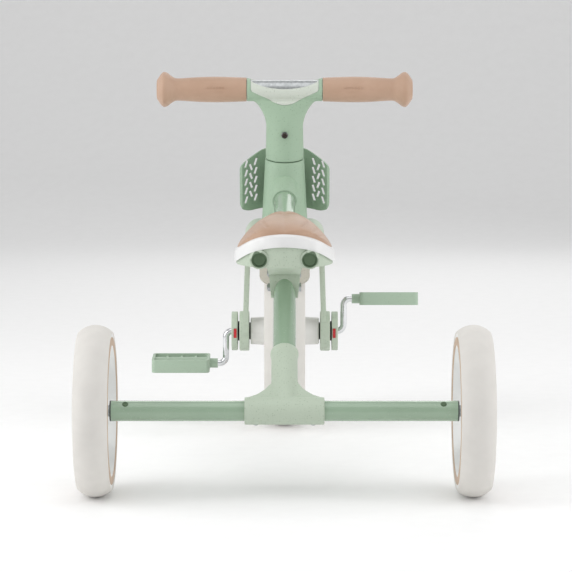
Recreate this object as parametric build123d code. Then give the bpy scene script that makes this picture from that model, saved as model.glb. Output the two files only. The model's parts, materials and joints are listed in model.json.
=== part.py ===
from build123d import *
from math import cos, pi, radians, sin, sqrt, tan
import os

# A toddler's tricycle in millimetres. +Y is forward, +X is the rider's right, +Z is up.
# The origin is on the ground, under the middle of the overall box.
# Steering pieces are drawn upright about the steering axis and then leaned back with it.
# Seat pieces are drawn with the seat's rear top edge at zero.

# Layout
wheelbase = 470.0
rear_radius = 90.0
front_radius = 115.0
rear_track = 395.0  # between the middles of the two rear tyres
head_lean = 12.0  # degrees back from the vertical
hub_lead = 10.0  # front hub ahead of the steering axis
crank_throw = 40.0
bar_height = 305.8  # handlebar above hub level, along the steering axis
seat_height = 267.7  # rear top edge of the seat above the ground

# Gaps
snug = 0.05  # round a piece that is fixed in another
running = 0.1  # round a piece that turns or slides
joint_line = 0.15  # between two mouldings that meet edge to edge

# Main tube
tube_radius = 12.5
tube_wall = 1.5
tube_rise = 35.0  # degrees, from the rear axle
tube_bend_run = 180.0  # rear axle to the bend, level
tube_bend_radius = 160.0
tube_join = 194.0  # where its line meets the steering axis

# Rear axle tube and the tee that joins it to the main tube
axle_tube_radius = 10.85
axle_tube_wall = 1.5
axle_tube_half = 181.0
tee_half = 41.8
tee_axle_radius = 14.5
tee_sleeve_radius = 14.1
tee_sleeve_length = 90.0
tee_collar_radius = 15.2
tee_collar_length = 7.0
tee_web = 9.0  # half thickness of the gussets
tee_hole_radius = 2.6

# Stub axles, their inserts and the spring buttons that hold them in the tube
stub_radius = 4.0
stub_collar_radius = 6.0
insert_length = 36.0
insert_flange = 1.5
axle_button_inset = 15.0  # from the end of the tube
axle_button_radius = 3.1
axle_button_flange_radius = 4.2
axle_button_flange = 1.0
axle_button_proud = 1.1
axle_button_travel = 2.4
axle_button_angle = 50.0  # degrees above level, facing back
nut_radius = 6.5
nut_length = 4.5

# Wheels
rear_tyre_width = 35.6
rear_shoulder_drop = 8.3
rear_web = 4.0  # half thickness of the wheel's disc
rear_hub_radius = 25.0
rear_hub_half = 12.0
front_tyre_width = 49.0
front_shoulder_drop = 10.2
front_web = 7.0
tyre_lip = 3.3
tyre_depth = 3.7  # seat below the shoulder
rim_set_back = 0.8
ring_margin = 0.6  # below the tyre's seat
ring_width = 8.6
ring_depth = 3.0
dish_land = 2.2
dish_slope = 9.0
bearing_radius = 11.0
bearing_width = 7.0
cap_radius = 20.0
cap_height = 5.0
cap_wall = 1.6

# Front hub, cranks and pedals
hub_half = 41.9
hub_end_radius = 16.5
hub_root_radius = 18.0
axle_radius = 6.0
seal_radius = 10.5
seal_width = 1.7
pod_radius = 24.5
pod_width = 12.0
bush_wall = 2.4
bush_flange_radius = 12.0
bush_flange = 2.1
housing_radius = 24.0
housing_width = 7.5
housing_bore_depth = 2.4
crank_radius = 3.9
crank_run = 72.5  # the upright run's distance from the middle plane
crank_bend_radius = 8.0
crank_button_width = 3.3
crank_button_height = 11.5
crank_button_depth = 7.0
crank_button_proud = 0.9
crank_button_travel = 2.0
pedal_start = 92.5
pedal_end = 163.2
pedal_neck_start = 82.7
pedal_neck_radius = 5.85
pedal_depth = 50.0
pedal_height = 15.7
pedal_wall = 3.2
pedal_core_radius = 7.4
pedal_floor = 2.4
left_pedal_tilt = -2.5
right_pedal_tilt = 6.5

# Head, fork and fender
housing_bottom = 143.1  # along the steering axis, above hub level
housing_top = 220.8
head_bottom_radius = 27.5
head_top_radius = 23.4
head_wall = 3.0
head_tube_radius = 17.0
head_tube_wall = 2.0
head_tube_inset = 1.9
head_sleeve_radius = 14.6
head_sleeve_length = 62.0
head_bush_length = 12.0
steerer_radius = 12.5
steerer_wall = 2.0
steerer_top = 285.0
crown_bottom = 122.5
crown_top = 141.4
crown_half_depth = 18.0
leg_inner_top = 41.6
leg_inner_bottom = 45.4
leg_thickness = 6.5
leg_waist = 100.0
leg_foot = 12.0
leg_top_half_depth = 13.0
leg_foot_half_depth = 17.0
fender_half = 30.0
fender_gap = 6.0  # between tyre and fender
fender_wall = 3.0
fender_rear_angle = 34.0  # above level, behind the hub
fender_front_angle = 52.0  # above level, ahead of the hub
fender_corner = 14.0
fender_screw_reach = 17.5

# Handlebar
stem_bottom = 221.5
stem_radius = 23.0
stem_top_radius = 22.0
stem_shoulder = 262.0
arm_radius = 14.0
arm_half = 45.4
cover_wall = 2.6
cover_sag = 21.0
cover_edge = 3.0
bar_dip = 10.4
bar_tube_radius = 11.0
bar_tube_wall = 1.5
grip_end = 152.5
grip_wall = 3.5
grip_flange_radius = 20.8
stem_screw_height = 255.6
screw_radius = 2.0
screw_head_radius = 3.9
screw_head = 2.4

# Fairing
fairing_half = 54.0
fairing_wall = 3.0
fairing_front = 31.0  # its inner face ahead of the steering axis
fairing_sweep = 36.0  # how far the wings run back from the front
fairing_bottom = 152.0
fairing_mid_top = 226.0
fairing_side_top = 212.0
fairing_corner = 16.0
fairing_slot = 2.6
fairing_slot_length = 9.0
fairing_slot_pitch = 9.4
fairing_boss_half = 9.0

# Seat
seat_back = 62.0  # rear edge ahead of the rear axle
seat_length = 198.0
seat_half = 54.7
seat_fall = 33.5  # how far the crown drops from the ridge to the edge
seat_rise = 12.0  # ridge above the rear edge
seat_roll = 36.0  # how far from the rear edge the ridge levels out
seat_depth = 34.2
seat_plan = [
    (0.33, 0.017),
    (0.60, 0.062),
    (0.84, 0.145),
    (0.965, 0.240),
    (1.00, 0.335),
    (0.925, 0.475),
    (0.700, 0.625),
    (0.490, 0.765),
    (0.375, 0.869),
    (0.256, 0.949),
    (0.11, 0.992),
]  # half of the plan, as shares of its half width and its length
trim_height = 12.0
trim_wall = 3.2
pad_thickness = 8.5
pad_proud = 1.5
base_wall = 3.0
base_inset = 2.0
socket_spacing = 54.0
socket_radius = 7.0
socket_wall = 1.25
socket_length = 20.0
socket_drop = 26.0
socket_lead = 4.0  # mouth ahead of the seat's rear edge
socket_tilt = 12.0  # degrees, mouth facing back and down
socket_boss_wall = 1.9
bracket_start = 8.0
bracket_end = 133.0
bracket_cheek = 93.0  # where its cheeks begin, ahead of the seat's rear edge
bracket_drop = 41.0  # cheeks' lowest point below the seat base
bracket_top_half = 18.9
bracket_bottom_half = 14.7
bracket_bolt_half = 15.4
bolt_radius = 3.0
bolt_head_radius = 5.0
bolt_head = 3.0

# Places that follow from the values above
lean = radians(head_lean)
rear_axle_y = (rear_radius - front_radius - wheelbase) / 2
front_axle_y = rear_axle_y + wheelbase
rear_axle = Pos(0, rear_axle_y, rear_radius)
front_axle = Pos(0, front_axle_y, front_radius)
steer = Plane(
    origin=(0, front_axle_y - hub_lead, front_radius),
    x_dir=(1, 0, 0),
    z_dir=(0, -sin(lean), cos(lean)),
)
hub_y = hub_lead * cos(lean)
hub_z = -hub_lead * sin(lean)
seat_place = Pos(0, rear_axle_y + seat_back, seat_height)
bend_y = rear_axle_y + tube_bend_run
bend_z = rear_radius + tube_bend_run * tan(radians(tube_rise))
tube_head = steer.from_local_coords(Vector(0, 0, tube_join))
tube_direction = Vector(0, cos(radians(tube_rise)), sin(radians(tube_rise)))
pod_inner = hub_half + seal_width
pod_outer = pod_inner + pod_width
crank_face = pod_outer + bush_flange + running
crank_outer = crank_face + housing_width
axle_half = crank_face + housing_bore_depth
sides = {"left": -1, "right": 1}


def rod(radius, start, end):
    return Pos((start + end) / 2, 0, 0) * Rot(0, 90, 0) * Cylinder(radius, abs(end - start))


def post(radius, bottom, top):
    return Pos(0, 0, (bottom + top) / 2) * Cylinder(radius, top - bottom)


def block(x0, x1, y0, y1, z0, z1):
    middle = Pos((x0 + x1) / 2, (y0 + y1) / 2, (z0 + z1) / 2)
    return middle * Box(abs(x1 - x0), abs(y1 - y0), abs(z1 - z0))


def turned(*points):
    # A solid turned about X from its outline of distances along X and radii.
    return revolve(make_face(Polyline(*points, close=True)), Axis.X)


def pipe(path, outer, inner=0.0):
    section = Circle(outer)
    if inner > 0:
        section = section - Circle(inner)
    return sweep(Plane(origin=path @ 0, z_dir=path % 0) * section, path=path)


def main_path():
    return FilletPolyline(
        (0, rear_axle_y, rear_radius),
        (0, bend_y, bend_z),
        (0, tube_head.Y, tube_head.Z),
        radius=tube_bend_radius,
    )


def place_bolts(tool):
    # The two cross bolts of the seat bracket, at fixed steps along the main tube.
    path = main_path()
    holes = [path @ (step / path.length) for step in bolt_steps()]
    return [Pos(0, spot.Y, spot.Z) * tool for spot in holes]


def bolt_steps():
    first = (seat_back + bracket_cheek + 6.0) / cos(radians(tube_rise))
    return [first, first + 26.0]


# Frame


def main_tube():
    tube = pipe(main_path(), tube_radius, tube_radius - tube_wall)
    tube -= rear_axle * rod(axle_tube_radius + snug, -tee_half, tee_half)
    behind = block(-tee_half, tee_half, -tee_half, 0, -tee_half, tee_half)
    tube -= rear_axle * Rot(tube_rise, 0, 0) * behind
    tube -= steer.location * post(head_tube_radius + snug, housing_bottom, housing_top)
    for hole in place_bolts(rod(bolt_radius + snug, -tee_half, tee_half)):
        tube -= hole
    return largest(tube)


def largest(shape):
    return sorted(shape.solids(), key=lambda solid: solid.volume)[-1]


def rear_axle_tube():
    half = axle_tube_half
    tube = rod(axle_tube_radius, -half, half)
    tube -= rod(axle_tube_radius - axle_tube_wall, -half, half)
    for side in sides.values():
        tube -= axle_button_place(side) * post(axle_button_radius + running, 0, axle_tube_radius + 2)
    return rear_axle * tube


def axle_button_place(side):
    reach = axle_tube_half - axle_button_inset
    return Pos(side * reach, 0, 0) * Rot(90 - axle_button_angle, 0, 0)


def rear_tee():
    along = Plane(origin=(0, 0, 0), x_dir=(1, 0, 0), z_dir=tube_direction)
    sleeve = post(tee_sleeve_radius, 0, tee_sleeve_length)
    collar_start = tee_sleeve_length - tee_collar_length
    collar = post(tee_collar_radius, collar_start, tee_sleeve_length)
    collar = chamfer(collar.edges().filter_by(GeomType.CIRCLE), 0.8)
    web_plane = Plane(
        origin=(0, 0, 0),
        x_dir=(1, 0, 0),
        z_dir=Vector(1, 0, 0).cross(tube_direction),
    )
    foot = tee_half - 4
    half_web = make_face(
        [
            Line((0, 0), (foot, 0)),
            Line((foot, 0), (foot, tee_axle_radius - 2)),
            ThreePointArc((foot, tee_axle_radius - 2), (19, 27), (tee_sleeve_radius - 2, 62)),
            Line((tee_sleeve_radius - 2, 62), (0, 62)),
            Line((0, 62), (0, 0)),
        ]
    )
    web = extrude(web_plane * half_web, tee_web, both=True)
    web += mirror(web, about=Plane.YZ)
    body = rod(tee_axle_radius, -tee_half, tee_half) + along.location * (sleeve + collar) + web
    body -= rod(axle_tube_radius + snug, -tee_half, tee_half)
    body -= along.location * post(tube_radius + snug, 0, tee_sleeve_length)
    spot = web_plane.location * Pos(-16.5, 34, 0)
    body -= spot * Pos(0, 0, tee_web) * Cylinder(tee_hole_radius, tee_web)
    return rear_axle * body


def screw(length):
    # A pan head screw on Z, its head's underside at zero and its shank below.
    head = chamfer(post(screw_head_radius, 0, screw_head).edges().group_by(Axis.Z)[-1], 0.9)
    socket = Pos(0, 0, screw_head) * extrude(RegularPolygon(1.7, 6), -1.4)
    return head + post(screw_radius, -length, 0) - socket


def tee_screws():
    # Two screws come up through the tee's underside into the axle tube.
    group = []
    for side in sides.values():
        turn = Pos(side * 30.0, 0, 0) * Rot(180 + 28, 0, 0)
        group.append(rear_axle * turn * Pos(0, 0, tee_axle_radius + 0.1) * screw(3.2))
    return group


def tee_with_screw_holes():
    body = rear_tee()
    for side in sides.values():
        turn = Pos(side * 30.0, 0, 0) * Rot(180 + 28, 0, 0)
        body -= rear_axle * turn * post(screw_radius + snug, 0, tee_axle_radius + 1)
    return body


# Rear wheels and their axles


def stub_end():
    # Inner face of the wheel bearing, measured from the middle plane.
    return rear_track / 2 - rear_hub_half


def rear_insert(side):
    bore = axle_tube_radius - axle_tube_wall - snug
    start = axle_tube_half - insert_length
    plug = rod(bore, start, axle_tube_half)
    plug += rod(axle_tube_radius, axle_tube_half, axle_tube_half + insert_flange)
    plug -= rod(stub_radius + snug, start, axle_tube_half + insert_flange)
    plug = plug if side > 0 else mirror(plug, about=Plane.YZ)
    pocket = post(axle_button_flange_radius + running, 4.7, axle_tube_radius)
    return rear_axle * (plug - axle_button_place(side) * pocket)


def rear_stub(side):
    start = axle_tube_half - insert_length
    tip = rear_track / 2 + rear_hub_half + nut_length + 0.4
    axle = rod(stub_radius, start, tip)
    axle += rod(stub_collar_radius, axle_tube_half + insert_flange, stub_end() - snug)
    axle = axle if side > 0 else mirror(axle, about=Plane.YZ)
    return rear_axle * axle


def rear_axle_nuts():
    start = rear_track / 2 + rear_hub_half + snug
    hexagon = extrude(Plane.YZ * RegularPolygon(nut_radius, 6), nut_length)
    nut = Pos(start, 0, 0) * hexagon - rod(stub_radius + snug, start, start + nut_length)
    return [rear_axle * nut, rear_axle * mirror(nut, about=Plane.YZ)]


def spring_button(side):
    bore = axle_tube_radius - axle_tube_wall
    bottom = sqrt(bore**2 - axle_button_flange_radius**2) - running - axle_button_flange
    top = axle_tube_radius + axle_button_proud
    pin = post(axle_button_radius, bottom, top)
    pin = fillet(pin.edges().group_by(Axis.Z)[-1], 1.2)
    pin += post(axle_button_flange_radius, bottom, bottom + axle_button_flange)
    return rear_axle * axle_button_place(side) * pin


def tyre(radius, width, drop):
    half = width / 2
    shoulder = radius - drop
    seat = shoulder - tyre_depth
    outline = make_face(
        [
            ThreePointArc((-half, shoulder), (0, radius), (half, shoulder)),
            Line((half, shoulder), (half - tyre_lip, seat)),
            Line((half - tyre_lip, seat), (tyre_lip - half, seat)),
            Line((tyre_lip - half, seat), (-half, shoulder)),
        ]
    )
    return revolve(outline, Axis.X)


def rim_half(radius, width, drop, web, hub_radius, hub_length):
    # One half of a wheel's moulding, from the middle plane out to +X.
    half = width / 2
    seat = radius - drop - tyre_depth - 2 * snug
    face = half - rim_set_back
    lip = seat + (face - (half - tyre_lip)) * tyre_depth / tyre_lip
    ring_out = radius - drop - tyre_depth - ring_margin + snug
    ring_in = ring_out - ring_width - 2 * snug
    groove = half - ring_depth - snug
    return turned(
        (0, 0),
        (0, seat),
        (half - tyre_lip, seat),
        (face, lip),
        (face, ring_out),
        (groove, ring_out),
        (groove, ring_in),
        (face, ring_in),
        (face, ring_in - dish_land),
        (web + 1.2, ring_in - dish_land - dish_slope),
        (web, hub_radius + 3),
        (web + 1.0, hub_radius),
        (hub_length, hub_radius - 1.0),
        (hub_length, 0),
    )


def rings(radius, width, drop):
    half = width / 2
    outer = radius - drop - tyre_depth - ring_margin
    inner = outer - ring_width
    ring = turned(
        (half - ring_depth, inner),
        (half - ring_depth, outer),
        (half - 0.8, outer),
        (half - 0.1, outer - 0.8),
        (half - 0.1, inner + 0.8),
        (half - 0.8, inner),
    )
    return [ring, mirror(ring, about=Plane.YZ)]


def rear_rim():
    half = rim_half(
        rear_radius, rear_tyre_width, rear_shoulder_drop, rear_web, rear_hub_radius, rear_hub_half
    )
    body = half + mirror(half, about=Plane.YZ)
    body -= rod(stub_collar_radius + 1.5, -rear_hub_half, rear_hub_half)
    for start in (-rear_hub_half, rear_hub_half - bearing_width):
        body -= rod(bearing_radius + snug, start, start + bearing_width)
    return body


def rear_bearings():
    pair = []
    for start in (-rear_hub_half, rear_hub_half - bearing_width):
        ring = rod(bearing_radius, start, start + bearing_width)
        pair.append(ring - rod(stub_radius + running, start, start + bearing_width))
    return pair


def rear_hub_cap(side):
    start = rear_hub_half
    cap = rod(cap_radius, start, start + cap_height + cap_wall - 1.0)
    cap = fillet(cap.edges().group_by(Axis.X)[-1], 2.0)
    cap -= rod(cap_radius - cap_wall, start, start + cap_height)
    return cap if side > 0 else mirror(cap, about=Plane.YZ)


# Front wheel, cranks and pedals


def front_rim():
    half = rim_half(
        front_radius,
        front_tyre_width,
        front_shoulder_drop,
        front_web,
        hub_root_radius + 8.0,
        front_web + 2.0,
    )
    body = half + mirror(half, about=Plane.YZ)
    return body - rod(hub_root_radius + snug, -front_web - 2.0, front_web + 2.0)


def front_hub():
    end = hub_half
    barrel = turned(
        (-end, 0),
        (-end, hub_end_radius - 1),
        (-end + 1, hub_end_radius),
        (-front_web - 2, hub_root_radius),
        (front_web + 2, hub_root_radius),
        (end - 1, hub_end_radius),
        (end, hub_end_radius - 1),
        (end, 0),
    )
    return barrel - rod(axle_radius + snug, -end, end)


def front_axle_shaft():
    return rod(axle_radius, -axle_half, axle_half)


def seal_rings():
    ring = rod(seal_radius, hub_half, hub_half + seal_width)
    ring -= rod(axle_radius + snug, hub_half, hub_half + seal_width)
    return [ring, mirror(ring, about=Plane.YZ)]


def crank_housing(side):
    disc = rod(housing_radius, crank_face, crank_outer)
    disc = fillet(disc.edges().filter_by(GeomType.CIRCLE), 0.8)
    disc -= rod(axle_radius + snug, crank_face, axle_half + snug)
    disc -= rod(crank_radius + snug, axle_half, crank_outer)
    half_height = crank_button_height / 2 + running
    depth = crank_button_depth - crank_button_proud + crank_button_travel + running
    middle = (crank_face + crank_outer) / 2 - 0.95
    half_width = crank_button_width / 2 + running
    pocket = block(
        middle - half_width,
        middle + half_width,
        -housing_radius - 1,
        depth - housing_radius,
        -half_height,
        half_height,
    )
    disc -= pocket
    return disc if side > 0 else mirror(disc, about=Plane.YZ)


def crank_button(side):
    middle = (crank_face + crank_outer) / 2 - 0.95
    front = crank_button_depth - crank_button_proud - housing_radius
    half_width = crank_button_width / 2
    half_height = crank_button_height / 2
    button = block(
        middle - half_width,
        middle + half_width,
        -housing_radius - crank_button_proud,
        front,
        -half_height,
        half_height,
    )
    button = fillet(button.edges().filter_by(Axis.X).group_by(Axis.Y)[0], 1.2)
    return button if side > 0 else mirror(button, about=Plane.YZ)


def crank_arm(side):
    # The right crank stands up and the left one hangs down.
    path = FilletPolyline(
        (side * (axle_half + snug), 0, 0),
        (side * crank_run, 0, 0),
        (side * crank_run, 0, side * crank_throw),
        (side * (pedal_end - pedal_wall - 1), 0, side * crank_throw),
        radius=crank_bend_radius,
    )
    return pipe(path, crank_radius)


def pedal(side, tilt):
    length = pedal_end - pedal_start
    middle = (pedal_start + pedal_end) / 2
    body = Pos(middle, 0, 0) * Box(length, pedal_depth, pedal_height)
    body = fillet(body.edges().filter_by(Axis.Z), 5.0)
    core = rod(pedal_core_radius, pedal_start, pedal_end - 2.0)
    inner = Pos(middle, 0, pedal_floor) * Box(
        length - 2 * pedal_wall, pedal_depth - 2 * pedal_wall, pedal_height
    )
    inner = fillet(inner.edges().filter_by(Axis.Z), 3.0)
    body = body - inner + core
    rib_count = 3
    for index in range(rib_count):
        place = pedal_start + length * (index + 1) / (rib_count + 1)
        body += Pos(place, 0, 0) * Box(2.4, pedal_depth - pedal_wall, pedal_height - 5)
    slot_length = length / (rib_count + 1) - 5.5
    for index in range(rib_count + 1):
        place = pedal_start + length * (index + 0.5) / (rib_count + 1)
        for way in (-1, 1):
            body -= Pos(place, way * 15.0, 0) * Box(slot_length, 8.0, 2 * pedal_height)
    body += rod(pedal_neck_radius, pedal_neck_start, pedal_start + pedal_wall)
    body -= rod(crank_radius + running, pedal_neck_start, pedal_end - pedal_wall - 0.8)
    turned_body = Rot(-tilt, 0, 0) * body
    if side < 0:
        turned_body = mirror(turned_body, about=Plane.YZ)
    return Pos(0, 0, side * crank_throw) * turned_body


# Head and fork, drawn upright about the steering axis


def head_tube():
    bottom = housing_bottom + head_tube_inset
    top = housing_top - head_tube_inset
    tube = post(head_tube_radius, bottom, top)
    return tube - post(head_tube_radius - head_tube_wall, bottom, top)


def head_bush(bottom, top, flange_bottom, flange_top):
    sleeve = post(head_tube_radius - head_tube_wall - snug, bottom, top)
    flange = post(head_tube_radius - snug, flange_bottom, flange_top)
    return sleeve + flange - post(steerer_radius + running, min(bottom, flange_bottom), max(top, flange_top))


def head_bush_upper():
    seat = housing_top - head_tube_inset
    return head_bush(seat - head_bush_length, seat, seat, stem_bottom - running)


def head_bush_lower():
    seat = housing_bottom + head_tube_inset
    return head_bush(seat, seat + head_bush_length, crown_top + running, seat)


def head_housing():
    height = housing_top - housing_bottom
    middle = Pos(0, 0, (housing_top + housing_bottom) / 2)
    shell = middle * Cone(head_bottom_radius, head_top_radius, height)
    bottom = fairing_bottom + 14
    boss = block(-fairing_boss_half, fairing_boss_half, 0, boss_front(), bottom, housing_top - 18)
    shell += boss
    cavity = Cone(head_bottom_radius - head_wall, head_top_radius - head_wall, height - 2 * head_wall)
    sleeve_start = Vector(0, tube_head.Y, tube_head.Z)
    back = Vector(0, bend_y - tube_head.Y, bend_z - tube_head.Z).normalized()
    spine = Plane(origin=sleeve_start, x_dir=(1, 0, 0), z_dir=back)
    shell = steer.location * shell
    sleeve = spine.location * post(head_sleeve_radius, 0, head_sleeve_length)
    shell = shell + sleeve
    shell -= steer.location * (middle * cavity)
    shell -= steer.location * post(head_tube_radius + snug, housing_bottom, housing_top)
    shell -= spine.location * post(tube_radius + snug, 0, head_sleeve_length)
    for height in fairing_screw_heights():
        hole = Rot(-90, 0, 0) * post(screw_radius + snug, 0, fairing_front)
        shell -= steer.location * Pos(0, 0, height) * hole
    return largest(shell)


def boss_front():
    # The fairing's inner face curves back, so the boss stops clear of it at its corners.
    chord = fairing_half - fairing_wall
    radius = (chord**2 + fairing_sweep**2) / (2 * fairing_sweep)
    return fairing_front - radius + sqrt(radius**2 - fairing_boss_half**2) - joint_line


def fairing_screw_heights():
    low = fairing_bottom + 24
    return [low, low + 20]


def fairing():
    # A curved sheet, cut to its front outline and pierced with rows of short slots.
    back = fairing_front - fairing_sweep
    inner = [(-fairing_half + fairing_wall, back), (0, fairing_front), (fairing_half - fairing_wall, back)]
    outer = [(-fairing_half, back), (0, fairing_front + fairing_wall), (fairing_half, back)]
    sheet = make_face(
        [
            ThreePointArc(*inner),
            Line(inner[2], outer[2]),
            ThreePointArc(*reversed(outer)),
            Line(outer[0], inner[0]),
        ]
    )
    solid = extrude(sheet, fairing_mid_top + 5)
    outline = FilletPolyline(
        (-fairing_half, fairing_bottom),
        (fairing_half, fairing_bottom),
        (fairing_half, fairing_side_top),
        (26, fairing_mid_top),
        (-26, fairing_mid_top),
        (-fairing_half, fairing_side_top),
        radius=[fairing_corner, fairing_corner, 6, 20, 20, 6],
        close=True,
    )
    solid &= extrude(Plane.XZ * make_face(outline), 4 * fairing_half, both=True)
    for side in sides.values():
        for x, z, turn in slot_places():
            cut = Box(fairing_slot, 60, fairing_slot_length)
            solid -= Pos(side * x, 0, z) * Rot(0, side * turn, 0) * cut
    for height in fairing_screw_heights():
        solid -= Pos(0, 0, height) * Rot(-90, 0, 0) * post(screw_radius + snug, 0, 2 * fairing_front)
    return solid


def slot_places():
    places = []
    for column in range(3):
        for row in range(5 - column % 2):
            x = fairing_half - 7.5 - 5.6 * column
            z = fairing_bottom + 15 + 11.2 * (row + 0.5 * (column % 2))
            places.append((x, z, 18 if column % 2 else -18))
    return places


def fairing_screws():
    face = fairing_front + fairing_wall
    return [Pos(0, face, height) * Rot(-90, 0, 0) * screw(9.0) for height in fairing_screw_heights()]


def steerer_tube():
    tube = post(steerer_radius, crown_bottom + 1, steerer_top)
    tube -= post(steerer_radius - steerer_wall, crown_bottom + 1, steerer_top)
    hole = Pos(0, 0, stem_screw_height) * Rot(90, 0, 0) * post(screw_radius + snug, 0, 40)
    return tube - hole


def fork():
    # A front outline and a side outline, each extruded, leave the legs and the crown.
    outer_top = leg_inner_top + leg_thickness
    outer_bottom = leg_inner_bottom + leg_thickness
    front = FilletPolyline(
        (-outer_bottom, hub_z),
        (-outer_top, leg_waist),
        (-outer_top, crown_top),
        (outer_top, crown_top),
        (outer_top, leg_waist),
        (outer_bottom, hub_z),
        (leg_inner_bottom, hub_z),
        (leg_inner_top, leg_waist),
        (leg_inner_top, crown_bottom),
        (-leg_inner_top, crown_bottom),
        (-leg_inner_top, leg_waist),
        (-leg_inner_bottom, hub_z),
        radius=[0, 40, 20, 20, 40, 0, 0, 30, 10, 10, 30, 0],
        close=True,
    )
    side = FilletPolyline(
        (hub_y - leg_foot_half_depth, hub_z),
        (-leg_top_half_depth + hub_y / 2, leg_waist / 2),
        (-crown_half_depth, crown_bottom),
        (-crown_half_depth, crown_top),
        (crown_half_depth, crown_top),
        (crown_half_depth, crown_bottom),
        (leg_top_half_depth + hub_y / 2, leg_waist / 2),
        (hub_y + leg_foot_half_depth, hub_z),
        radius=[0, 60, 20, 4, 4, 20, 60, 0],
        close=True,
    )
    body = extrude(Plane.XZ * make_face(front), 2 * pod_radius, both=True)
    body &= extrude(Plane.YZ * make_face(side), 2 * pod_outer, both=True)
    axle = Pos(0, hub_y, hub_z)
    for way in sides.values():
        pod = rod(pod_radius, way * pod_inner, way * pod_outer)
        pod = fillet(pod.edges().filter_by(GeomType.CIRCLE), 1.5)
        body += axle * pod
    body -= axle * rod(pod_radius - 0.5, -pod_inner, pod_inner)
    body -= axle * rod(axle_radius + bush_wall + snug, -pod_outer, pod_outer)
    body -= post(steerer_radius + snug, crown_bottom, crown_top)
    for place in fender_screw_places():
        body -= place * post(screw_radius + snug, -1, 30)
    return body


def fork_bushes():
    barrel = rod(axle_radius + bush_wall, pod_inner, pod_outer)
    barrel += rod(bush_flange_radius, pod_outer, pod_outer + bush_flange)
    barrel -= rod(axle_radius + running, pod_inner, pod_outer + bush_flange)
    axle = Pos(0, hub_y, hub_z)
    return [axle * barrel, axle * mirror(barrel, about=Plane.YZ)]


def fender_screw_places():
    # Each place has its Z up from the fender's inner face, through the crown.
    return [Pos(x, 0, crown_bottom) for x in (-fender_screw_reach, fender_screw_reach)]


def front_fender():
    inner = front_radius + fender_gap
    outer = inner + fender_wall
    band = turned(
        (-fender_half, inner - 1.2),
        (-fender_half + 6, inner),
        (fender_half - 6, inner),
        (fender_half, inner - 1.2),
        (fender_half, outer - 1.2),
        (fender_half - 6, outer),
        (6 - fender_half, outer),
        (-fender_half, outer - 1.2),
    )
    reach = 3 * outer
    start = radians(fender_rear_angle)
    finish = radians(fender_front_angle)
    wedge = Polyline(
        (0, 0),
        (-reach * cos(start), reach * sin(start)),
        (0, 2 * reach),
        (reach * cos(finish), reach * sin(finish)),
        close=True,
    )
    band &= extrude(Plane.YZ * make_face(wedge), fender_half, both=True)
    ends = [edge for edge in band.edges() if 2.0 < edge.length < 4.5 and abs(edge.center().X) > fender_half - 1]
    band = fillet([edge for edge in ends if is_radial(edge)], fender_corner)
    band = Rot(-head_lean, 0, 0) * band
    band = Pos(0, hub_y, hub_z) * band
    for place in fender_screw_places():
        band -= place * post(screw_radius + snug, -20, 5)
    return band


def is_radial(edge):
    middle = edge.center()
    way = edge % 0.5
    spoke = Vector(0, middle.Y, middle.Z).normalized()
    return abs(way.dot(spoke)) > 0.99


def fender_screws():
    inner = front_radius + fender_gap
    under = hub_z + sqrt(inner**2 - (hub_y + screw_head_radius) ** 2) - snug
    ends = (-fender_screw_reach, fender_screw_reach)
    return [Pos(x, 0, under) * Rot(180, 0, 0) * screw(12.0) for x in ends]


# Handlebar, drawn upright about the steering axis


def bar_body(inset):
    height = stem_shoulder - stem_bottom
    column = Pos(0, 0, stem_bottom + height / 2) * Cone(stem_radius - inset, stem_top_radius - inset, height)
    levels = [
        (stem_shoulder - 1, stem_top_radius, stem_top_radius),
        (stem_shoulder + 14, stem_top_radius + 3.5, stem_top_radius - 2.5),
        (bar_height - arm_radius + 3, arm_half - 6, arm_radius + 1.5),
    ]
    sections = [Pos(0, 0, z) * Ellipse(a - inset, b - inset) for z, a, b in levels]
    flare = loft(sections)
    head_block = Pos(0, 0, bar_height) * rod(arm_radius - inset, -arm_half, arm_half)
    body = column + flare + head_block
    dip_top = bar_height + arm_radius
    cut = make_face(
        [
            ThreePointArc(
                (-arm_half - 1, dip_top - inset + 0.4), (0, dip_top - bar_dip - inset), (arm_half + 1, dip_top - inset + 0.4)
            ),
            Line((arm_half + 1, dip_top - inset + 0.4), (arm_half + 1, dip_top + 20)),
            Line((arm_half + 1, dip_top + 20), (-arm_half - 1, dip_top + 20)),
            Line((-arm_half - 1, dip_top + 20), (-arm_half - 1, dip_top - inset + 0.4)),
        ]
    )
    return body - extrude(Plane.XZ * cut, 2 * arm_half, both=True)


def cover_region(gap):
    # Everything above the crescent's lower edge, between the two arm ends.
    edge = arm_half - cover_edge - gap
    side_z = bar_height + gap
    return extrude(
        Plane.XZ
        * make_face(
            [
                ThreePointArc((-edge, side_z), (0, side_z - cover_sag), (edge, side_z)),
                Line((edge, side_z), (edge, side_z + 60)),
                Line((edge, side_z + 60), (-edge, side_z + 60)),
                Line((-edge, side_z + 60), (-edge, side_z)),
            ]
        ),
        2 * arm_half,
        both=True,
    )


def handlebar():
    shell = bar_body(0) - bar_body(cover_wall + joint_line)
    body = bar_body(0) - (shell & cover_region(0))
    body -= Pos(0, 0, bar_height) * rod(bar_tube_radius + snug, -arm_half, arm_half)
    body -= post(steerer_radius + snug, stem_bottom, steerer_top + 0.5)
    recess = Pos(0, 0, stem_screw_height) * Rot(90, 0, 0) * post(screw_radius + snug, 0, 40)
    return largest(body - recess)


def handlebar_cover():
    shell = (bar_body(0) - bar_body(cover_wall)) & cover_region(joint_line)
    shell -= Pos(0, 0, bar_height) * rod(bar_tube_radius + snug, -arm_half, arm_half)
    return largest(shell)


def handlebar_tube():
    half = grip_end - grip_wall
    tube = rod(bar_tube_radius, -half, half)
    return Pos(0, 0, bar_height) * (tube - rod(bar_tube_radius - bar_tube_wall, -half, half))


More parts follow.
